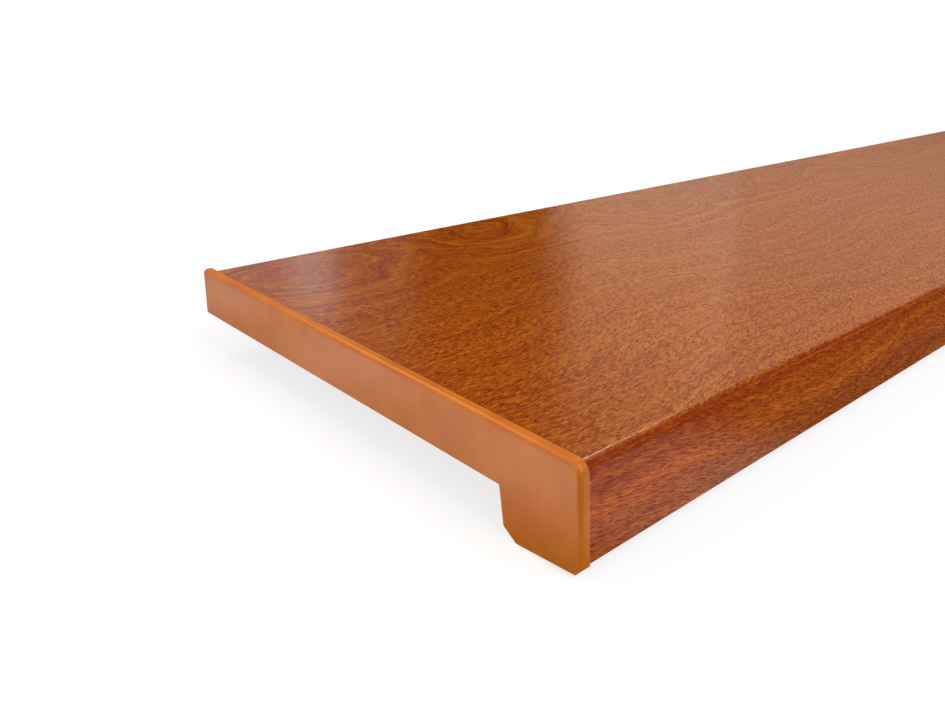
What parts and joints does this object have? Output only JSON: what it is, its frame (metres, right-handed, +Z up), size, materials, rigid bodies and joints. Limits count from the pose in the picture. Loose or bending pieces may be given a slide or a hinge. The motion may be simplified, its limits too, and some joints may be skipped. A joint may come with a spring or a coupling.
{
  "type": "window sill board",
  "caption": "Hollow extruded window sill board in wood-grain film, with a raked nose along the front edge and a rimmed plastic cap on each end.",
  "frame": {"origin": "centre of the bedding face under the slab", "axes": "+X along the length, -Y towards the nose on the room side, +Y towards the window frame, +Z up through the top face"},
  "size_m": [1.2036, 0.2576, 0.0427],
  "materials": {
    "wood_film": "satin wood-grain film on rigid plastic",
    "cap_plastic": "satin moulded plastic"
  },
  "bodies": {
    "root": {"sill_board": "wood_film", "end_cap_left": "cap_plastic", "end_cap_right": "cap_plastic"}
  },
  "joints": []
}
